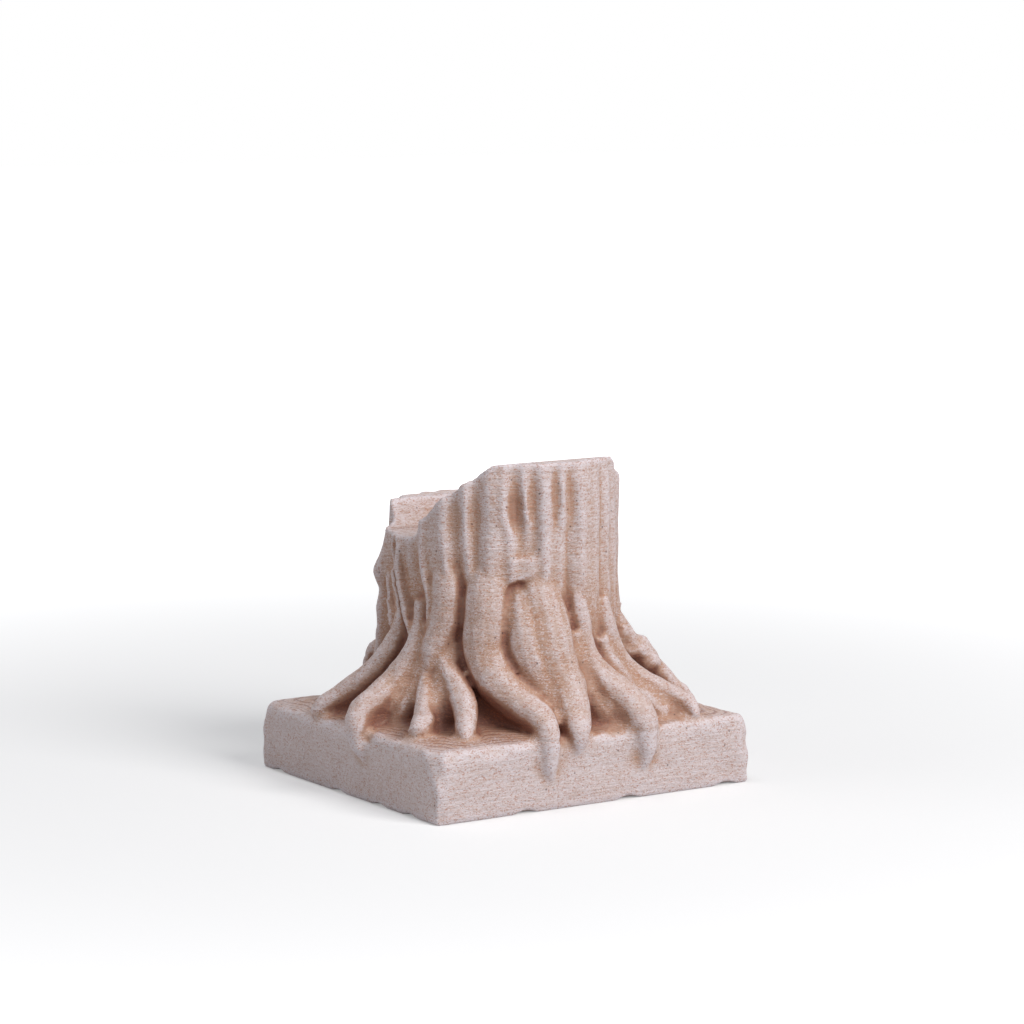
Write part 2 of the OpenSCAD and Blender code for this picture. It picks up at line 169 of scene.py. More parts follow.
# The trunk, in millimetres and degrees. Each strand of bark is a list of (height over the table,
# azimuth, relief) with its half width; a negative relief is a groove.
trunkShape = {
    "radius": 24, "top": 74, "low": 12, "flare": 5, "flareHeight": 7, "columns": 288, "rows": 104,
    "rimFade": 0.6, "rimFrom": 65, "rimTo": 71, "strandEnd": 8,
}
barkStrands = [
    (9, [(71, 146, 1.5), (54.6, 147, 1.5), (50, 147, 2.4), (45, 147, 3.7), (41, 147, 2.6),
         (37, 147, 3.2), (33, 147, 2.8), (28, 146, 3), (20, 146, 2.5)]),
    (4, [(55, 163, 1.2), (50, 163, 0.9), (47, 163, 0)]),
    (3, [(46, 154, 0.2), (43.7, 155, 1.2), (38.5, 157, 1.4), (35.9, 162, 1.4), (32.9, 167, 1.2),
         (28, 170, 0)]),
    (3, [(48, 164, 0.2), (45.3, 165, 1.2), (43.1, 168, 1.4), (40, 173, 1.4), (37.2, 176, 1.3),
         (33.5, 176, 1.2), (31.6, 176, 0.8), (28, 177, 0)]),
    (8, [(66, 180, -0.3), (56, 181, -1), (46, 186, -1.2), (38, 191, -0.9), (33, 191, 0)]),
    (3.6, [(60, 168, 0.8), (54, 169, 1.5), (51.3, 172, 1.6), (46.9, 173, 1.9), (43.3, 177, 1.9),
           (37.6, 182, 1.9), (32.7, 187, 1.6), (28, 191, 0.3)]),
    (3.6, [(62, 191, 0.8), (58.3, 192, 1.2), (52.5, 192, 1.3), (49, 193, 1.3), (46, 195, 1.3),
           (43, 198, 1.3), (41, 199, 1.4), (37.3, 198, 1.4), (33.9, 194, 1.3), (31.8, 192, 1),
           (28, 190, 0)]),
    (14, [(71, 203, 0.8), (56, 202, 1.1), (46, 204, 1.3), (41, 206, 1.5), (37, 206, 1.5),
          (32, 205, 1.2), (25, 205, 0.4)]),
    (6, [(66, 205, 0.6), (56, 206, 0.9), (51, 208, 0.9), (46.4, 210, 1.1), (41.6, 212, 1.3),
         (39, 213, 1.3), (35.3, 210, 1), (31, 207, 0.4)]),
    (3.6, [(71, 210, -0.3), (63, 210, -0.4), (52, 211, -0.5), (46.5, 213.5, -0.9),
           (40.4, 217, -1.6), (32, 217, -1.6), (25, 216, -1)]),
    (4.5, [(71, 216.5, 0.7), (63.5, 217, 1.2), (53.8, 218, 1.2), (47.5, 219.5, 0.9), (43, 220, 0)]),
    (5, [(71, 224, -0.4), (60, 224, -0.4), (51, 224, -0.3), (46, 225, 0)]),
    (11, [(71, 231, 1.2), (60, 231, 1.3), (50, 230, 1.6), (44, 229, 2), (36, 229, 1.8),
          (28, 229, 1)]),
    (4, [(71, 237, 0.8), (60, 237, 0.8), (56, 240, 0.9), (51.6, 240, 0.8), (46, 239, 0.6),
         (40, 239, 0)]),
    (5, [(71, 242, -0.5), (64, 242.5, -0.7), (59, 243.5, -0.7), (54, 246, -0.5),
         (51.5, 247, -0.2)]),
    (3.5, [(71, 247, 0.8), (64.5, 247, 0.8), (59.6, 248, 0.7), (57.5, 249, 0.3), (56, 249, 0)]),
    (4, [(71, 251, -0.4), (64, 252, -0.5), (57.3, 252.5, -0.5), (53, 252, -0.3), (51.5, 251, 0)]),
    (6, [(71, 257, 1.1), (60, 257.5, 1.1), (48.7, 258, 0.9), (42, 258, 0.8), (34, 258, 0.4)]),
    (3.2, [(71, 264, -0.4), (64, 263.5, -0.6), (58.5, 264.5, -0.5), (55.5, 265, 0)]),
    (3, [(71, 267, 0.7), (64, 267.5, 0.8), (59, 268, 0.5), (56, 268, 0)]),
    (4, [(71, 271, -0.4), (65, 273, -0.6), (59, 273, -0.6), (55.5, 271.5, -0.7), (52, 271, -0.8),
         (42, 271, -0.8), (34, 271, -0.3)]),
    (15, [(71, 285, 1), (50, 285, 1), (40, 286, 0.8), (30, 288, 0.5)]),
    (5, [(71, 278, 0.4), (55, 279, 0.5), (45, 279, 0.3), (40, 279, 0)]),
    (2.5, [(71, 287, -0.4), (50, 286, -0.5), (42, 287, 0)]),
    (2.5, [(71, 295, -0.5), (49, 295, -0.6), (40, 296, -0.2)]),
    (6, [(71, 301, 0.7), (48, 302, 0.7), (35, 303, 0.6)]),
    (7, [(71, 312, 0.7), (40, 311, 0.9), (25, 309, 0.5)]),
    (10, [(71, 326, 0.6), (66, 326, 1.2), (60, 326, 0.9), (50, 326, 0.7), (40, 324, 0.8),
          (33, 324, 1.4)]),
    # The far side
    (8, [(71, 341, 1), (49, 344, 1.4), (27, 342, 1)]),
    (6, [(71, 354, 1.4), (49, 351, 1.6), (33, 354, 0.8)]),
    (3, [(71, 347, -0.8), (49, 347, -1), (33, 348, -0.4)]),
    (8, [(71, 5, 1.4), (55, 8, 1.8), (38, 6, 1.8), (22, 4, 1)]),
    (6, [(71, 19, 1), (49, 22, 1.2), (33, 20, 1.4)]),
    (3, [(71, 13, -0.6), (49, 15, -1), (33, 14, -0.6)]),
    (9, [(71, 32, 1.6), (49, 30, 1.8), (33, 34, 1.4), (22, 36, 1)]),
    (6, [(71, 46, 1.2), (55, 49, 1.6), (38, 46, 1)]),
    (3, [(71, 40, -0.8), (49, 40, -1), (33, 41, -0.4)]),
    (8, [(71, 60, 1.2), (49, 62, 1.8), (27, 60, 1.6)]),
    (7, [(71, 74, 1.4), (55, 72, 1.8), (38, 76, 1.4), (22, 78, 0.8)]),
    (3, [(71, 67, -0.6), (49, 67, -1), (33, 68, -0.6)]),
    (8, [(71, 89, 1), (49, 92, 1.6), (33, 90, 1.6)]),
    (6, [(71, 103, 1.4), (49, 101, 1.6), (33, 104, 1)]),
    (3, [(71, 97, -0.6), (49, 97, -1), (33, 97, -0.4)]),
    (9, [(71, 117, 1.4), (49, 120, 1.8), (27, 116, 1.6)]),
    (6, [(71, 131, 1), (55, 133, 1.6), (38, 131, 1.2), (27, 131, 0.6)]),
]
# A healed scar: its edges in azimuth, the height of its lower lip and of its upper end
scarShape = {
    "from": 240, "to": 254, "edgeOut": 1, "edgeIn": 1.5, "lip": 45.6, "slant": 0.12, "lipFade": 2,
    "end": 51.6, "endFade": 1, "relief": 0.7, "hollow": 1, "hollowEnd": 34,
}


def strandAt(strand, height):
    # The azimuth and the relief of a strand at a height
    if height >= strand[0][0]:
        return strand[0][1], strand[0][2]
    for upper, lower in zip(strand, strand[1:]):
        if height >= lower[0]:
            share = (upper[0] - height) / (upper[0] - lower[0])
            azimuth = upper[1] + share * (lower[1] - upper[1])
            return azimuth, upper[2] + share * (lower[2] - upper[2])
    fade = ramp(height, strand[-1][0] - trunkShape["strandEnd"], strand[-1][0])
    return strand[-1][1], strand[-1][2] * fade


def trunkRadius(azimuth, height, reliefs):
    radius = trunkShape["radius"]
    radius += trunkShape["flare"] * math.exp(-max(0, height - slabTop) / trunkShape["flareHeight"])
    strength = 1 - trunkShape["rimFade"] * ramp(height, trunkShape["rimFrom"], trunkShape["rimTo"])
    for width, middle, relief in reliefs:
        away = abs(turnBetween(azimuth, middle))
        if away < width:
            radius += strength * relief * math.cos(math.pi / 2 * away / width) ** 2
    start, stop, out, inward = (scarShape[key] for key in ("from", "to", "edgeOut", "edgeIn"))
    inScar = ramp(azimuth, start - out, start + inward) * (1 - ramp(azimuth, stop - inward, stop + out))
    lip = scarShape["lip"] + scarShape["slant"] * (azimuth - start)
    if height >= lip:
        end = scarShape["end"]
        fade = 1 - ramp(height, end - scarShape["endFade"], end)
        return radius + inScar * scarShape["relief"] * fade
    depth = ramp(height, scarShape["hollowEnd"], lip - scarShape["lipFade"])
    return radius - inScar * scarShape["hollow"] * depth


def makeTrunk():
    bm = bmesh.new()
    rows = trunkShape["rows"]
    bmesh.ops.create_cone(bm, cap_ends=True, segments=trunkShape["columns"], radius1=1, radius2=1,
                          depth=1)
    uprights = [edge for edge in bm.edges if abs(edge.verts[0].co.z - edge.verts[1].co.z) > 0.5]
    bmesh.ops.subdivide_edges(bm, edges=uprights, cuts=rows - 1, use_grid_fill=True)
    reliefs = {}
    for vertex in bm.verts:
        row = round((vertex.co.z + 0.5) * rows)
        height = trunkShape["low"] + (trunkShape["top"] - trunkShape["low"]) * row / rows
        if row not in reliefs:
            reliefs[row] = [(width, *strandAt(strand, height)) for width, strand in barkStrands]
        azimuth = math.degrees(math.atan2(vertex.co.y, vertex.co.x)) % 360
        radius = trunkRadius(azimuth, height, reliefs[row])
        vertex.co.x *= radius * mm
        vertex.co.y *= radius * mm
        vertex.co.z = height * mm
    return newPiece("trunk", bm)


# The seat's profile along Y, in millimetres: points (y, z, rounding)
seatShape = {
    "profile": [(-70, 71, 0), (-18.9, 71, 0.5), (0, 54, 1.9), (15, 54, 3.1), (17.8, 60, 0.6),
                (70, 60, 0), (70, 90, 0), (-70, 90, 0)],
    "reach": 60, "roundSteps": 6,
}


def makeSeatCutter():
    bm = bmesh.new()
    reach = seatShape["reach"] * mm
    corners = [bm.verts.new((-reach, y * mm, z * mm)) for y, z, rounding in seatShape["profile"]]
    bm.faces.new(corners)
    for corner, (y, z, rounding) in zip(corners, seatShape["profile"]):
        if rounding:
            bmesh.ops.bevel(bm, geom=[corner], offset=rounding * mm, offset_type="OFFSET",
                            segments=seatShape["roundSteps"], profile=0.5, affect="VERTICES",
                            material=-1)
    grown = bmesh.ops.extrude_face_region(bm, geom=bm.faces[:])
    moved = [item for item in grown["geom"] if isinstance(item, bmesh.types.BMVert)]
    bmesh.ops.translate(bm, verts=moved, vec=(2 * reach, 0, 0))
    bmesh.ops.recalc_face_normals(bm, faces=bm.faces[:])
    return newPiece("seatCutter", bm)


def cutSeat(trunk):
    cutter = makeSeatCutter()
    cut = trunk.modifiers.new("seat", "BOOLEAN")
    cut.operation = "DIFFERENCE"
    cut.solver = "EXACT"
    cut.object = cutter
    bake(trunk)
    bpy.data.objects.remove(cutter)


# The roots: stations of (azimuth, way from the trunk 0 to the slab's edge 1, rise over the slab's
# top, thickness) in degrees and millimetres
rootShape = {
    "proud": 2.6, "sink": 1, "tubeRound": 6, "tubeSteps": 8,
    "webShare": 0.62, "webFrom": -0.05, "webUntil": 0.9, "webCuts": 3,
    # How much wider than usual the foot of a root's body is
    "skirts": {"leftDropRoot": 1.7, "leftRoot": 1.5, "rightDropRoot": 1.4, "cornerRoot": 1.7,
               "cornerRootFar": 1.6, "broadRoot": 1.2},
}
rootPaths = {
    "swingRoot": [(229, -0.24, 36, 4.4), (229, -0.14, 31, 4.8), (228, -0.06, 26, 4.9),
                  (228, -0.01, 20, 5), (228, 0.02, 16, 4.8), (230, 0.06, 12.5, 4.8),
                  (234, 0.16, 9, 4.6), (240, 0.3, 6, 4.2), (246, 0.52, 3.7, 3.7),
                  (250, 0.78, 1.7, 3.1), (251, 0.98, -1, 2.6), (251, 1, -4.5, 2.3),
                  (251, 1, -7.5, 1.8), (252, 1, -10, 0.7)],
    "broadRoot": [(256, -0.4, 32, 5), (256, -0.27, 25, 6), (257, -0.14, 20, 6.3),
                  (258, -0.04, 16, 6.4), (261, 0.12, 10, 6), (263, 0.38, 5.6, 5.2),
                  (263, 0.72, 1.8, 4.1), (262, 1, -1, 2.8), (262, 1, -4, 1.6), (262, 1, -5.4, 0.7)],
    "broadRootFlank": [(246, -0.36, 28, 5), (247, -0.12, 21, 5.4), (249, 0.04, 14, 5.4),
                       (254, 0.17, 8, 5), (259, 0.42, 3.6, 4.2), (261, 0.68, 0.6, 3.4)],
    "rightDropRoot": [(276, -0.36, 36, 2.4), (278, -0.18, 28, 2.6), (279, -0.06, 20.5, 2.8),
                      (279, 0.02, 16, 2.9), (281, 0.12, 11.5, 3.4), (284, 0.3, 7.6, 3.9),
                      (287, 0.5, 4.8, 4.1), (289, 0.74, 2.2, 4.1), (289, 0.96, -0.6, 3.7),
                      (289, 1, -3.6, 3), (289, 1, -6.8, 2.1), (288, 1, -10, 0.8)],
    "cornerRoot": [(297, -0.1, 24, 2.8), (299, -0.02, 18, 3), (302, 0.05, 13, 3.1),
                   (306, 0.15, 8.6, 3.1), (309, 0.3, 5.6, 3.1), (311, 0.46, 3.6, 2.9),
                   (311, 0.64, 2, 2.5), (309, 0.82, 0.4, 1.9), (307, 0.94, -1, 1)],
    "cornerRootFar": [(322, -0.1, 22, 2.6), (325, 0.03, 15.4, 3), (328, 0.13, 11.6, 3.1),
                      (330, 0.25, 9, 3), (331, 0.38, 6.4, 2.9), (330, 0.52, 3.4, 2.6),
                      (329, 0.64, 1, 2.1), (328, 0.75, -0.6, 1.4)],
    "leggedRoot": [(204, -0.16, 38, 3), (206, -0.07, 29, 3.8), (207, -0.05, 23, 4.2),
                   (205, -0.02, 18.6, 4), (203, 0.02, 15, 3.9), (202, 0.07, 12, 3.5),
                   (201, 0.18, 8.6, 2.4), (205, 0.36, 5, 2.2), (208, 0.5, 2.8, 2.3),
                   (211, 0.66, 0.8, 2.6), (211, 0.78, -0.4, 2.2)],
    "secondLeg": [(203, 0, 15.6, 3.2), (209, 0.08, 11.4, 2.9), (216, 0.17, 8.1, 2.7),
                  (221, 0.27, 5.2, 2.7), (224, 0.41, 2.8, 2.5), (225, 0.55, 0.8, 2.2),
                  (226, 0.68, -1, 1.2)],
    "leftDropRoot": [(188, -0.12, 24, 2.4), (191, -0.02, 18, 2.8), (191, 0.05, 14, 3.2),
                     (188, 0.17, 10, 3.6), (186, 0.36, 6.4, 3.7), (185, 0.62, 4, 3.5),
                     (185, 0.88, 1.6, 3.1), (187, 1, -1.4, 2.6), (188, 1, -3.8, 2.2),
                     (190, 1, -5.8, 1.7), (191, 1, -7.6, 0.7)],
    "leftRoot": [(174, -0.12, 22, 3), (171, -0.02, 15.5, 3.3), (168, 0.14, 10.4, 3.4),
                 (164, 0.36, 6, 3.3), (161, 0.6, 2.8, 3), (160, 0.83, 0.4, 2.4),
                 (160, 0.98, -2, 1.4)],
    "leftFarRoot": [(150, -0.1, 22, 2.8), (148, -0.04, 15.5, 3), (144, 0.02, 12.4, 3),
                    (136, 0.11, 9.8, 3), (128, 0.24, 7, 2.9), (122, 0.4, 4.4, 2.7),
                    (118, 0.58, 2, 2.3), (117, 0.74, -0.2, 1.3)],
    "farDropRoot": [(114, -0.14, 25, 3.4), (111, -0.04, 17, 3.7), (106, 0.14, 11, 3.9),
                    (100, 0.4, 6.8, 3.8), (97, 0.7, 3.2, 3.4), (97, 0.96, 0.2, 2.9),
                    (98, 1, -3.6, 2.6), (99, 1, -8, 1.9), (98, 1, -10.5, 0.8)],
    "farRoot": [(91, -0.16, 22, 3), (88, -0.06, 14, 3.3), (83, 0.16, 8.6, 3.5),
                (79, 0.48, 4.4, 3.1), (78, 0.78, 1.2, 2.4), (79, 0.96, -1.6, 1.2)],
    "farCornerRoot": [(68, -0.16, 25, 3.6), (65, -0.06, 17, 3.9), (61, 0.12, 11.4, 4.1),
                      (58, 0.36, 7.2, 3.9), (57, 0.64, 3.6, 3.5), (59, 0.92, 0.6, 2.9),
                      (60, 1, -3, 2.6), (59, 1, -7, 0.9)],
    "farShortRoot": [(43, -0.14, 23, 3.1), (41, 0, 14.5, 3.3), (38, 0.2, 9, 3.2),
                     (35, 0.44, 4.6, 2.8), (34, 0.64, 1.6, 2.3), (35, 0.8, -0.8, 1.1)],
    "rightSideRoot": [(22, -0.14, 23, 3.4), (21, -0.02, 15.5, 3.7), (17, 0.16, 10.4, 3.8),
                      (13, 0.42, 6.4, 3.6), (10, 0.74, 3, 3.2), (10, 0.97, -0.2, 2.8),
                      (11, 1, -3.8, 2.6), (12, 1, -8.4, 0.9)],
    "rightShortRoot": [(2, -0.12, 20, 3), (1, 0.02, 12.6, 3.1), (-2, 0.26, 7.8, 3),
                       (-5, 0.55, 4, 2.7), (-8, 0.82, 0.8, 2.2), (-9, 0.98, -1.6, 1.1)],
    "rightFrontRoot": [(345, -0.12, 20, 3), (345, 0, 13, 3), (344, 0.2, 8.4, 2.9),
                       (343, 0.44, 5, 2.8), (342, 0.68, 2, 2.4), (341, 0.86, -0.6, 1.4)],
    # Low flanks that fill the hollows beside the roots of the near side
    "leftDropFlank": [(197, -0.1, 18, 3.6), (197, 0.03, 11.6, 3.6), (196, 0.17, 6, 3.6),
                      (194, 0.34, 1.4, 3.4), (193, 0.48, -2.4, 2.6)],
    "leggedFlank": [(208, -0.1, 17, 4), (209, 0.02, 10.6, 4), (210, 0.14, 5.6, 4),
                    (211, 0.27, 1.2, 3.8), (213, 0.4, -2.8, 2.6)],
    "rightDropFlank": [(273, -0.08, 18, 3.4), (275, 0.06, 10.6, 3.6), (278, 0.24, 5.2, 3.6),
                       (282, 0.45, 1.2, 3.4), (286, 0.66, -1.8, 3)],
    "cornerFlank": [(294, -0.06, 15.6, 3.4), (297, 0.09, 9.2, 3.6), (301, 0.25, 4.6, 3.6),
                    (304, 0.44, 1.6, 3.2), (306, 0.62, -1.4, 2.6)],
}


def edgeAt(azimuth):
    # The way from the middle to the slab's edge
    least = 0.001
    c = max(abs(math.cos(math.radians(azimuth))), least)
    s = max(abs(math.sin(math.radians(azimuth))), least)
    return min(halfLength / c, halfDepth / s)


def stationPoint(station, inward=0, down=0):
    azimuth, way, rise, thick = station
    edge = edgeAt(azimuth)
    radius = trunkShape["radius"] + way * (edge - trunkShape["radius"])
    limit = edge * (1 + min(0, rootShape["proud"] - thick) / halfDepth)
    radius = min(radius, limit) - inward
    angle = math.radians(azimuth)
    return Vector((radius * math.cos(angle), radius * math.sin(angle), slabTop + rise - down)) * mm


def makeTube(name, points, radii):
    curve = bpy.data.curves.new(name, "CURVE")
    curve.dimensions = "3D"
    curve.bevel_depth = mm
    curve.bevel_resolution = rootShape["tubeRound"]
    curve.resolution_u = rootShape["tubeSteps"]
    curve.use_fill_caps = True
    spline = curve.splines.new("BEZIER")
    spline.radius_interpolation = "CARDINAL"
    spline.bezier_points.add(len(points) - 1)
    for knot, point, radius in zip(spline.bezier_points, points, radii):
        knot.co = point
        knot.radius = radius
        knot.handle_left_type = "AUTO"
        knot.handle_right_type = "AUTO"
    tube = bpy.data.objects.new(name, curve)
    scene.collection.objects.link(tube)
    return bake(tube)


def makeWeb(name, stations):
    # The body of a root under its rounded back: hulls from the back down to the slab
    sink = rootShape["sink"]
    tops = [(*stationPoint(s), s[3]) for s in stations]
    feet = [(*stationPoint(s, s[3], max(s[3], s[2] + sink)), s[3]) for s in stations]
    skirt = rootShape["skirts"].get(name, 1)
    cuts = rootShape["webCuts"]
    bm = bmesh.new()
    for step in range((len(stations) - 1) * cuts):
        corners = []
        for share in (step / cuts, (step + 1) / cuts):
            index = min(int(share), len(stations) - 2)
            for line, wider in ((tops, 1), (feet, skirt)):
                a, b = np.array(line[index]), np.array(line[index + 1])
                x, y, z, thick = a + (b - a) * (share - index)
                radius = thick * rootShape["webShare"] * wider * mm
                ball = bmesh.ops.create_icosphere(bm, subdivisions=1, radius=radius,
                                                  matrix=Matrix.Translation((x, y, z)))
                corners += ball["verts"]
        bmesh.ops.convex_hull(bm, input=corners)
    return newPiece(name, bm)


def makeRoot(name, stations):
    parts = [makeTube(name, [stationPoint(s) for s in stations], [s[3] for s in stations])]
    webbed = [s for s in stations if rootShape["webFrom"] < s[1] < rootShape["webUntil"]]
    parts.append(makeWeb(name, webbed))
    return parts


# The finished skin, in millimetres. Each wrinkle is (depth, size along X and Y, size along Z).
skinShape = {
    "voxel": 0.585, "smoothRounds": 4, "inside": 0.02, "seedStep": 20,
    "swell": (0.3, 5, 7), "wrinkle": (0.13, 2.2, 12), "knot": (0.14, 2.4, 2.4),
    "slabWave": (0.3, 7, 5), "lump": (2.2, 4.2, 4.2),
}
# Where the wrinkles fade in or out: heights, or how far the surface faces upwards from 0 to 1
skinFades = {
    "steep": (0.5, 0.9), "wood": (17, 19), "seatFacing": (0.5, 0.65), "seatHeight": (50, 52),
    "wrinkle": (20, 34), "knot": (30, 40), "slabWave": (1, 3), "foot": (0.1, 1),
}
# How the inner corners are filled, the bark is sharpened and the slab's edges are worn
creaseFill = {"rounds": 40, "most": 2, "share": 0.8, "from": 8, "fadeIn": 4, "to": 27, "fadeOut": 7}
barkSharpening = {
    "rounds": 14, "most": 0.7, "share": 1.1, "topShare": 0.2, "steep": 0.6,
    "from": 18, "fadeIn": 6, "to": 54, "fadeOut": 8,
}
slabWear = {
    "depth": 0.9, "near": 0.6, "far": 3, "size": 4.2, "seed": (3, 1, 8), "bias": 0.25,
    "top": (15.4, 16.4),
}
# The knobbly root at the far right, in degrees and millimetres
knobbly = {"from": 316, "to": 338, "low": 18, "high": 38, "fade": 3}
# Marks that the plastic reads to paint shade in recesses and a sheen on ridges: (rounds of smoothing,
# depth of a full recess in millimetres)
recessMarks = {"fineRecess": (12, 0.3), "broadRecess": (90, 1.2)}
# Rays over each point: their number, turn in radians, start and reach in millimetres. The share they
# find closed is painted as shade.
shelterMark = {"rays": 16, "turn": 2.39996, "lift": 0.2, "reach": 12}


def joined(name, pieces):
    bm = bmesh.new()
    for piece in pieces:
        bm.from_mesh(piece.data)
        bpy.data.objects.remove(piece)
    return newPiece(name, bm)


def readPoints(mesh):
    points = np.empty(len(mesh.vertices) * 3)
    mesh.vertices.foreach_get("co", points)
    return points.reshape(-1, 3)


def readNormals(mesh):
    normals = np.empty(len(mesh.vertices) * 3, dtype=np.float32)
    mesh.vertex_normals.foreach_get("vector", normals)
    return normals.reshape(-1, 3).astype(float)


def chipRise(x, y):
    # How high the bottom edge is chipped at this place
    rise = 0
    reach = slabShape["chipHalf"]
    for side, place in slabShape["chips"]:
        along, across = (x, y) if side[1] == "y" else (y, x)
        half = halfDepth if side[1] == "y" else halfLength
        inside = half - (across if side[0] == "+" else -across)
        if inside < slabShape["chipIn"] and abs(along - place) < reach:
            bump = math.cos(math.pi / 2 * (along - place) / reach) ** slabShape["chipBlunt"]
            bump *= 1 - ramp(inside, 0, slabShape["chipIn"])
            rise = max(rise, slabShape["chipDepth"] * bump)
    return rise


def smoothed(mesh, points, rounds):
    # The points after some rounds of moving half way to the middle of their neighbours
    count = len(points)
    ends = np.empty(len(mesh.edges) * 2, dtype=np.int32)
    mesh.edges.foreach_get("vertices", ends)
    a = ends[0::2]
    b = ends[1::2]
    shares = np.bincount(ends, minlength=count)
    level = points.copy()
    for step in range(rounds):
        for axis in range(3):
            near = np.bincount(a, weights=level[b, axis], minlength=count)
            near += np.bincount(b, weights=level[a, axis], minlength=count)
            level[:, axis] = 0.5 * level[:, axis] + 0.5 * near / shares
    return level


def fillCreases(mesh, points, normals):
    # Fills the sharp inner corners where roots meet the slab, the trunk and each other
    below = ((smoothed(mesh, points, creaseFill["rounds"]) - points) * normals).sum(axis=1)
    lift = np.clip(below, 0, creaseFill["most"] * mm) * creaseFill["share"]
    rise = points[:, 2] / mm
    lift *= np.clip((rise - creaseFill["from"]) / creaseFill["fadeIn"], 0, 1)
    lift *= np.clip((creaseFill["to"] - rise) / creaseFill["fadeOut"], 0, 1)
    return points + normals * lift[:, None]


def sharpenBark(mesh, points, normals):
    # Deepens the creases of the bark and raises its ridges, which the fusing has softened
    bark = barkSharpening
    most = bark["most"] * mm
    below = ((smoothed(mesh, points, bark["rounds"]) - points) * normals).sum(axis=1)
    rise = points[:, 2] / mm
    share = bark["share"] * np.clip((rise - bark["from"]) / bark["fadeIn"], 0, 1)
    share *= normals[:, 2] < bark["steep"]
    share *= np.clip((bark["to"] - rise) / bark["fadeOut"], bark["topShare"], 1)
    return points - normals * (np.clip(below, -most, most) * share)[:, None]


def markRecesses(mesh, name, rounds, depth):
    # How deep each point lies under a smoothed copy of the skin, 0.5 where it is level
    points = readPoints(mesh)
    level = smoothed(mesh, points, rounds)
    below = ((level - points) * readNormals(mesh)).sum(axis=1) / (depth * mm)
    mask = mesh.attributes.new(name, "FLOAT", "POINT")
    mask.data.foreach_set("value", np.clip(0.5 + 0.5 * below, 0, 1).astype(np.float32))


def wrinkle(name, place, turnOfNoise):
    depth, wide, tall = skinShape[name]
    x, y, z = place
    shift = skinShape["seedStep"] * turnOfNoise
    return depth * noise.noise(Vector((x / wide, y / wide, z / tall + shift)))


def edgeWear(place):
    # How much is worn off the slab's upper edges and upright corners, in uneven flats
    x, y, z = place
    gaps = sorted([halfLength - abs(x), halfDepth - abs(y), slabShape["side"] - z])
    near = 1 - ramp(abs(gaps[0]) + abs(gaps[1]), slabWear["near"], slabWear["far"])
    bite = noise.noise(Vector((x, y, z)) / slabWear["size"] + Vector(slabWear["seed"]))
    bite = max(0, bite + slabWear["bias"])
    return slabWear["depth"] * near * bite * (1 - ramp(z, *slabWear["top"]))


def skinPush(place, normal):
    # How far the skin's own relief lifts a place, in millimetres
    x, y, z = place
    steep = 1 - ramp(abs(normal[2]), *skinFades["steep"])
    seat = ramp(normal[2], *skinFades["seatFacing"]) * ramp(z, *skinFades["seatHeight"])
    wood = ramp(z, *skinFades["wood"]) * (1 - seat)
    push = wrinkle("swell", place, 1) * wood
    push += wrinkle("wrinkle", place, 2) * wood * ramp(z, *skinFades["wrinkle"]) * steep
    push += wrinkle("knot", place, 3) * wood * (1 - ramp(z, *skinFades["knot"]))
    push += wrinkle("slabWave", place, 4) * (1 - wood) * ramp(z, *skinFades["slabWave"]) * (1 - seat)
    push -= edgeWear(place)
    azimuth = math.degrees(math.atan2(y, x)) % 360
    low = knobbly["low"]
    if knobbly["from"] < azimuth < knobbly["to"] and low < z < knobbly["high"]:
        push += max(0, wrinkle("lump", place, 5)) * ramp(z, low, low + knobbly["fade"])
    return push * ramp(z, *skinFades["foot"])


def fuseSkin(stump):
    fuse = stump.modifiers.new("fuse", "REMESH")
    fuse.mode = "VOXEL"
    fuse.voxel_size = skinShape["voxel"] * mm
    soften = stump.modifiers.new("soften", "SMOOTH")
    soften.factor = 0.5
    soften.iterations = skinShape["smoothRounds"]
    bake(stump)
    mesh = stump.data
    for shape in (fillCreases, sharpenBark):
        points = shape(mesh, readPoints(mesh), readNormals(mesh))
        mesh.vertices.foreach_set("co", points.ravel())
        mesh.update()


def finishSkin(mesh):
    # Adds the skin's own relief and chips the slab, inside the solid's box
    points = readPoints(mesh)
    chipTop = 2
    for index, (place, normal) in enumerate(zip(points / mm, readNormals(mesh))):
        points[index] += normal * skinPush(place, normal) * mm
        if place[2] < chipTop:
            points[index][2] = max(points[index][2], chipRise(place[0], place[1]) * mm)
    for axis in range(3):
        inside = skinShape["inside"] * mm
        low = cadBox[0][axis] + (inside if axis < 2 else 0)
        points[:, axis] = np.clip(points[:, axis], low, cadBox[1][axis] - inside)
    mesh.vertices.foreach_set("co", points.ravel())
    mesh.update()
    mesh.shade_smooth()


def markShelter(mesh):
    # The share of the hemisphere over each point that the stand itself closes off nearby, which the
    # plastic paints as shade
    points = readPoints(mesh)
    normals = readNormals(mesh)
    tree = BVHTree.FromPolygons(points.tolist(), [tuple(face.vertices) for face in mesh.polygons])
    rays = []
    count = shelterMark["rays"]
    for index in range(count):
        lift = math.sqrt((index + 0.5) / count)
        around = index * shelterMark["turn"]
        flat = math.sqrt(1 - lift * lift)
        rays.append(Vector((flat * math.cos(around), flat * math.sin(around), lift)))
    closed = np.zeros(len(points), dtype=np.float32)
    for index, (point, normal) in enumerate(zip(points, normals)):
        normal = Vector(normal)
        start = Vector(point) + normal * shelterMark["lift"] * mm
        turned = normal.to_track_quat("Z", "Y")
        for ray in rays:
            if tree.ray_cast(start, turned @ ray, shelterMark["reach"] * mm)[0] is not None:
                closed[index] += 1 / count
    mask = mesh.attributes.new("shelter", "FLOAT", "POINT")
    mask.data.foreach_set("value", closed)


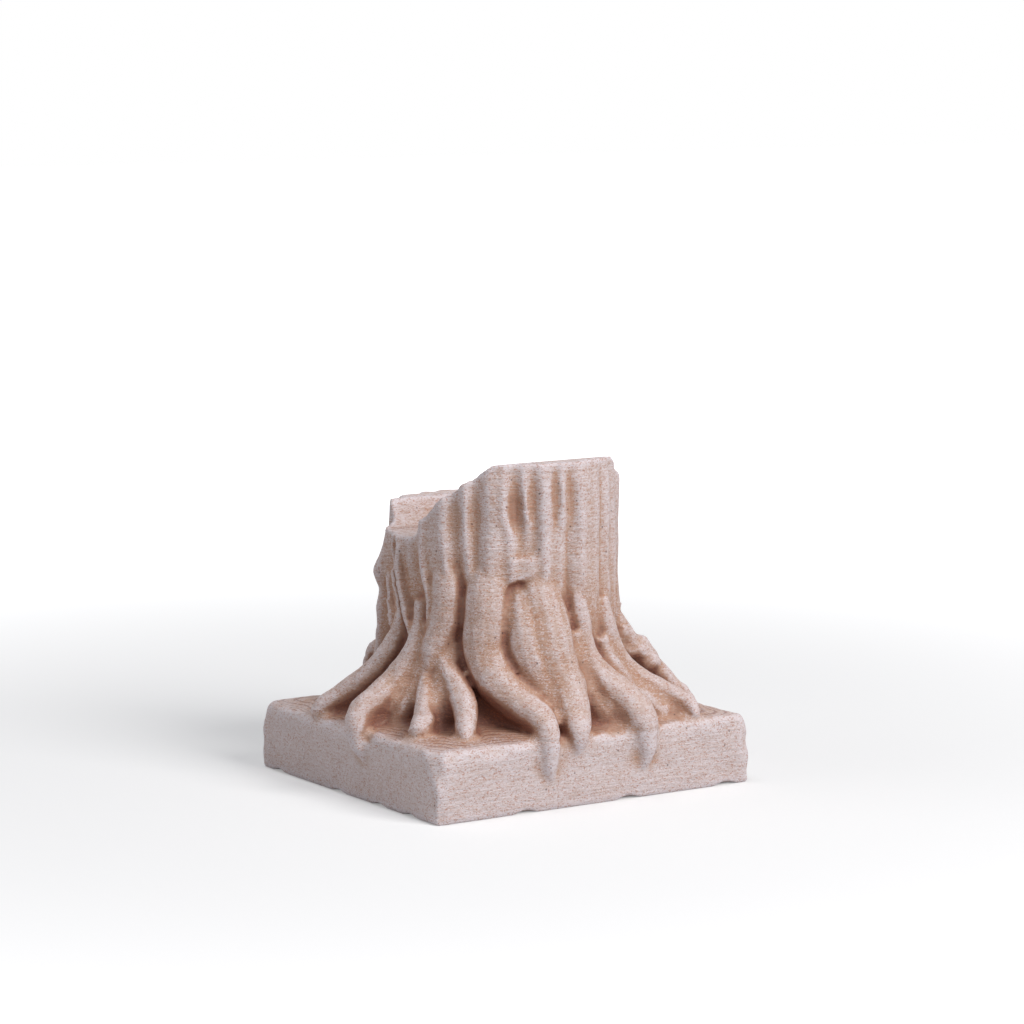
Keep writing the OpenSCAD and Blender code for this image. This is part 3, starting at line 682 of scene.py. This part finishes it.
trunk = makeTrunk()
cutSeat(trunk)
print("trunk and seat made")
parts = [makeSlab(), trunk]
for rootName, stations in rootPaths.items():
    parts += makeRoot(rootName, stations)
print("roots made:", len(rootPaths))
stump = joined("stumpStand", parts)
fuseSkin(stump)
finishSkin(stump.data)
for markName, (rounds, depth) in recessMarks.items():
    markRecesses(stump.data, markName, rounds, depth)
markShelter(stump.data)
print("skin faces:", len(stump.data.polygons))

# The printed wood-filled plastic; its warm and deep colours also paint shade, and its dust colour also
# paints a sheen. Colours are linear; sizes and depths are in millimetres.
plasticLook = {
    "pale": (0.675, 0.59, 0.59, 1), "body": (0.54, 0.385, 0.315, 1), "warm": (0.47, 0.29, 0.21, 1),
    "deep": (0.22, 0.09, 0.065, 1), "dustAndSheen": (0.76, 0.70, 0.74, 1), "rust": (0.42, 0.17, 0.09, 1),
    "dark": (0.09, 0.05, 0.045, 1), "roughness": 0.55, "specular": 0.35,
    "layer": 0.2, "wander": 0.12, "wallDepth": 0.05, "streakDepth": 0.08, "grainDepth": 0.06,
    "cellStretch": (1, 1, 1.5), "cellSize": 0.3, "speckSize": 0.65, "speckShare": 0.01,
    "speckDark": 0.75, "riserDark": 0.8,
}
# Noises as (stretch along X, Y and Z, scale, detail, roughness)
plasticNoises = {
    "streak": ((600, 600, 2600), 1, 2, 0.6), "longStreak": ((60, 60, 1300), 1, 2, 0.5),
    "mottle": ((1, 1, 1), 110, 3, 0.6), "grain": ((1, 1, 1.8), 1900, 2, 0.7),
    "wander": ((1, 1, 1), 400, 2, 0.5),
}
# How a mask becomes a share: (low, high) and, unless they are 0 and 1, the shares there
plasticFades = {
    "level": (0.9, 0.99), "riser": (0.55, 0.85), "fine": (0.55, 1, 0, 0.35),
    "shelter": (0.1, 0.65), "broad": (0.55, 0.95, 0, 0.25), "downward": (0, -0.7, 0, 0.45),
    "onSlab": (16.2 * mm, 14 * mm), "offSlab": (1, 0), "upper": (42 * mm, 56 * mm, 0.15, 0.95),
    "onTop": (22 * mm, 18 * mm), "openTop": (0, 1, 1, 0.5), "palest": (0.25, 0),
    "streak": (0.45, 0.65, 0, 0.6), "mottle": (0.35, 0.7, 0, 0.25), "calmSlab": (0, 1, 1, 0.45),
    "flank": (0.3, 0.52, 0, 0.6), "flankTop": (48 * mm, 38 * mm), "warm": (0.05, 0.6, 0, 0.9),
    "deep": (0.3, 0.95, 0, 0.9), "crestSheen": (0.47, 0.2, 0, 0.5), "paleStreak": (0.45, 0.3, 0, 0.25),
    "unshaded": (0.45, 0.1), "rustCell": (0.82, 0.9, 0, 0.6), "dustCell": (0.2, 0.12, 0, 0.45),
    "grain": (0.54, 0.7, 0, 0.35), "speck": (0.45, 0.2),
}


class NodeDesk:
    # Short ways to place and link nodes in one material
    def __init__(self, material):
        self.nodes = material.node_tree.nodes
        self.links = material.node_tree.links

    def add(self, kind, **settings):
        node = self.nodes.new(kind)
        for key, value in settings.items():
            setattr(node, key, value)
        return node

    def feed(self, socket, value):
        if isinstance(value, bpy.types.NodeSocket):
            self.links.new(value, socket)
        else:
            socket.default_value = value

    def math(self, operation, a, b=0.5, clamp=False):
        node = self.add("ShaderNodeMath", operation=operation, use_clamp=clamp)
        self.feed(node.inputs[0], a)
        self.feed(node.inputs[1], b)
        return node.outputs[0]

    def span(self, value, low, high, toLow=0.0, toHigh=1.0):
        node = self.add("ShaderNodeMapRange")
        for socket, amount in zip(node.inputs[:5], (value, low, high, toLow, toHigh)):
            self.feed(socket, amount)
        return node.outputs[0]

    def fade(self, value, name):
        return self.span(value, *plasticFades[name])

    def product(self, a, b):
        return self.math("MULTIPLY", a, b)

    def total(self, *values):
        # The sum, never over 1
        result = values[0]
        for value in values[1:]:
            result = self.math("ADD", result, value, clamp=True)
        return result

    def mix(self, share, a, b):
        node = self.add("ShaderNodeMix", data_type="RGBA")
        self.feed(node.inputs[0], share)
        self.feed(node.inputs[6], a)
        self.feed(node.inputs[7], b)
        return node.outputs[2]

    def stretched(self, where, scale):
        node = self.add("ShaderNodeMapping")
        self.feed(node.inputs["Vector"], where)
        node.inputs["Scale"].default_value = scale
        return node.outputs[0]

    def noise(self, where, name):
        stretch, scale, detail, rough = plasticNoises[name]
        node = self.add("ShaderNodeTexNoise")
        self.feed(node.inputs["Vector"], self.stretched(where, stretch))
        node.inputs["Scale"].default_value = scale
        node.inputs["Detail"].default_value = detail
        node.inputs["Roughness"].default_value = rough
        return node.outputs[0]

    def cells(self, where, size):
        # A random value for each small cell, and the way from the cell's middle
        cells = self.add("ShaderNodeTexVoronoi", feature="F1")
        self.feed(cells.inputs["Vector"], where)
        cells.inputs["Scale"].default_value = 1 / (size * mm)
        split = self.add("ShaderNodeSeparateColor")
        self.links.new(cells.outputs["Color"], split.inputs[0])
        return split.outputs[0], cells.outputs["Distance"]

    def attribute(self, name):
        node = self.add("ShaderNodeAttribute", attribute_name=name)
        return node.outputs["Fac"]


def makeMasks(desk):
    # Everything that changes over the stand and that its colour and relief read
    masks = {}
    place = desk.add("ShaderNodeTexCoord").outputs["Object"]
    split = desk.add("ShaderNodeSeparateXYZ")
    desk.feed(split.inputs[0], place)
    height = split.outputs[2]
    normal = desk.add("ShaderNodeSeparateXYZ")
    desk.feed(normal.inputs[0], desk.add("ShaderNodeNewGeometry").outputs["Normal"])
    upward = normal.outputs[2]

    # Streaks of the printed layers are long in plan and thin in height
    for name in ("streak", "longStreak", "mottle", "grain"):
        masks[name] = desk.noise(place, name)

    # Terraces of the layers, which show as contour lines where the top is nearly level
    masks["level"] = desk.fade(upward, "level")
    wander = desk.product(desk.noise(place, "wander"), plasticLook["wander"] * mm)
    phase = desk.math("DIVIDE", desk.math("ADD", height, wander), plasticLook["layer"] * mm)
    masks["saw"] = desk.math("FRACT", phase)
    masks["riser"] = desk.product(desk.fade(masks["saw"], "riser"), masks["level"])

    # Painted shade: recesses, places the stand shelters and faces turned downwards are painted warmer
    # and darker, and less so on the slab's open top
    masks["fine"] = desk.attribute("fineRecess")
    masks["broad"] = desk.attribute("broadRecess")
    masks["onSlab"] = desk.fade(height, "onSlab")
    offSlab = desk.fade(masks["onSlab"], "offSlab")
    recess = desk.total(desk.fade(masks["fine"], "fine"),
                        desk.fade(desk.attribute("shelter"), "shelter"),
                        desk.fade(masks["broad"], "broad"),
                        desk.product(desk.fade(upward, "downward"), offSlab))
    onTop = desk.product(masks["level"], desk.fade(height, "onTop"))
    masks["recess"] = desk.product(recess, desk.fade(onTop, "openTop"))
    # The share where no shade is painted
    masks["unshaded"] = desk.fade(masks["recess"], "unshaded")

    # The slab and the upper trunk are palest; painted shade makes the roots' flanks warmer than their
    # backs
    # Painted light: the upper trunk is made paler as if lit more strongly, and the pale colour gives
    # way wherever shade is painted
    pale = desk.math("MAXIMUM", masks["onSlab"], desk.fade(height, "upper"))
    masks["palest"] = desk.product(desk.fade(masks["recess"], "palest"), pale)
    flank = desk.product(desk.fade(masks["broad"], "flank"), desk.fade(height, "flankTop"))
    masks["flank"] = desk.product(flank, offSlab)
    where = desk.stretched(place, plasticLook["cellStretch"])
    masks["cells"] = desk.cells(where, plasticLook["cellSize"])[0]
    chance, middle = desk.cells(place, plasticLook["speckSize"])
    chosen = desk.math("LESS_THAN", chance, plasticLook["speckShare"])
    masks["specks"] = desk.product(chosen, desk.fade(middle, "speck"))
    return masks


def makeColour(desk, masks):
    recess = masks["recess"]
    colour = desk.mix(masks["palest"], plasticLook["body"], plasticLook["pale"])
    streaks = desk.math("ADD", desk.fade(masks["streak"], "streak"),
                        desk.fade(masks["mottle"], "mottle"))
    streaks = desk.product(streaks, desk.fade(masks["onSlab"], "calmSlab"))
    # The warm coat: the layers' streaks and mottling, plus painted shade on the roots' flanks and in
    # recesses
    warmth = desk.math("ADD", streaks, masks["flank"])
    warmth = desk.total(warmth, desk.fade(recess, "warm"))
    # Painted sheen: ridges, and pale streaks of the layers, are lightened in the dust colour, only
    # where no shade is painted
    crestSheen = desk.total(desk.fade(masks["fine"], "crestSheen"), desk.fade(masks["streak"], "paleStreak"))
    dustCells = desk.fade(masks["cells"], "dustCell")
    # Each coat goes over those before it; the first deep coat paints shade in recesses and the crest
    # coat paints a sheen on the ridges
    coats = [
        (warmth, "warm"),
        (desk.fade(recess, "deep"), "deep"),
        (desk.product(masks["riser"], plasticLook["riserDark"]), "deep"),
        (desk.product(crestSheen, masks["unshaded"]), "dustAndSheen"),
        (desk.fade(masks["cells"], "rustCell"), "rust"),
        (desk.product(dustCells, masks["unshaded"]), "dustAndSheen"),
        (desk.fade(masks["grain"], "grain"), "rust"),
        (desk.product(masks["specks"], plasticLook["speckDark"]), "dark"),
    ]
    for share, coat in coats:
        colour = desk.mix(share, colour, plasticLook[coat])
    return colour


def makeRelief(desk, masks):
    # The height of the layers, streaks and grains, in millimetres
    treads = desk.product(desk.product(masks["saw"], -plasticLook["layer"]), masks["level"])
    relief = desk.math("ADD", treads, desk.product(masks["saw"], plasticLook["wallDepth"]))
    for name, depth in (("streak", "streakDepth"), ("longStreak", "streakDepth"),
                        ("grain", "grainDepth")):
        relief = desk.math("ADD", relief, desk.product(masks[name], plasticLook[depth] * 2))
    return relief


def makePlastic():
    material = bpy.data.materials.new("woodFilledPlastic")
    material.use_nodes = True
    desk = NodeDesk(material)
    shader = desk.nodes["Principled BSDF"]
    masks = makeMasks(desk)
    desk.feed(shader.inputs["Base Color"], makeColour(desk, masks))
    shader.inputs["Roughness"].default_value = plasticLook["roughness"]
    shader.inputs["Specular IOR Level"].default_value = plasticLook["specular"]
    bump = desk.add("ShaderNodeBump")
    bump.inputs["Distance"].default_value = mm
    bump.inputs["Strength"].default_value = 1
    desk.feed(bump.inputs["Height"], makeRelief(desk, masks))
    desk.feed(shader.inputs["Normal"], bump.outputs[0])
    return material


stump.data.materials.append(makePlastic())
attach(stump, "root")
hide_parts("stump_stand")
print("plastic made")

# Floor, sky and lamps; places are (right, back, up) from the stand in metres
studioLook = {
    "floorSize": 6, "floorColour": (0.72, 0.72, 0.72, 1), "floorRoughness": 0.9,
    # The floor's own glow near the stand, and the way from the stand over which it grows to 1
    "floorGlow": 0.27, "glowFrom": 0.09, "glowTo": 0.55,
    "sky": (0.93, 0.95, 1, 1), "skyStrength": 0.2, "aimHeight": 0.035,
    "lamps": [
        ("keyLamp", (0.76, 0.66, 0.7), 0.6, 12.9, (1, 0.985, 0.98)),
        ("fillLamp", (-1.2, 0.2, 0.6), 0.9, 2.8, (1, 0.98, 0.97)),
        ("topLamp", (-0.2, 0.1, 1.4), 0.6, 4, (0.92, 0.95, 1)),
    ],
}


def makeFloor():
    bm = bmesh.new()
    bmesh.ops.create_grid(bm, x_segments=1, y_segments=1, size=studioLook["floorSize"] / 2)
    floor = newPiece("studioFloor", bm)
    material = bpy.data.materials.new("paleFloor")
    material.use_nodes = True
    desk = NodeDesk(material)
    shader = desk.nodes["Principled BSDF"]
    shader.inputs["Base Color"].default_value = studioLook["floorColour"]
    shader.inputs["Roughness"].default_value = studioLook["floorRoughness"]
    shader.inputs["Specular IOR Level"].default_value = 0
    rays = desk.add("ShaderNodeLightPath")
    away = desk.add("ShaderNodeVectorMath", operation="LENGTH")
    desk.feed(away.inputs[0], desk.add("ShaderNodeTexCoord").outputs["Object"])
    glow = desk.span(away.outputs["Value"], studioLook["glowFrom"], studioLook["glowTo"],
                     studioLook["floorGlow"], 1)
    glow.node.interpolation_type = "SMOOTHSTEP"
    shader.inputs["Emission Color"].default_value = (1, 1, 1, 1)
    desk.feed(shader.inputs["Emission Strength"], desk.product(rays.outputs["Is Camera Ray"], glow))
    floor.data.materials.append(material)


def makeSky():
    world = bpy.data.worlds.new("paleSky")
    world.use_nodes = True
    scene.world = world
    nodes = world.node_tree.nodes
    links = world.node_tree.links
    sky = nodes["Background"]
    sky.inputs["Color"].default_value = studioLook["sky"]
    sky.inputs["Strength"].default_value = studioLook["skyStrength"]
    white = nodes.new("ShaderNodeBackground")
    white.inputs["Color"].default_value = (1, 1, 1, 1)
    rays = nodes.new("ShaderNodeLightPath")
    seen = nodes.new("ShaderNodeMath")
    seen.operation = "MAXIMUM"
    links.new(rays.outputs["Is Camera Ray"], seen.inputs[0])
    links.new(rays.outputs["Is Glossy Ray"], seen.inputs[1])
    through = nodes.new("ShaderNodeMath")
    through.operation = "MAXIMUM"
    links.new(seen.outputs[0], through.inputs[0])
    links.new(rays.outputs["Is Transmission Ray"], through.inputs[1])
    mixed = nodes.new("ShaderNodeMixShader")
    links.new(through.outputs[0], mixed.inputs[0])
    links.new(sky.outputs[0], mixed.inputs[1])
    links.new(white.outputs[0], mixed.inputs[2])
    links.new(mixed.outputs[0], nodes["World Output"].inputs["Surface"])


def makeLamps():
    flatBack = Vector((math.sin(turn), -math.cos(turn), 0))
    for name, (right, back, up), size, power, colour in studioLook["lamps"]:
        data = bpy.data.lights.new(name, "AREA")
        data.shape = "SQUARE"
        data.size = size
        data.energy = power
        data.color = colour
        lamp = bpy.data.objects.new(name, data)
        lamp.location = right * rightWay + back * flatBack + Vector((0, 0, up))
        aim = Vector((0, 0, studioLook["aimHeight"])) - lamp.location
        lamp.rotation_euler = aim.to_track_quat("-Z", "Y").to_euler()
        scene.collection.objects.link(lamp)


makeFloor()
makeSky()
makeLamps()
scene.view_settings.view_transform = "Standard"
print("studio made")
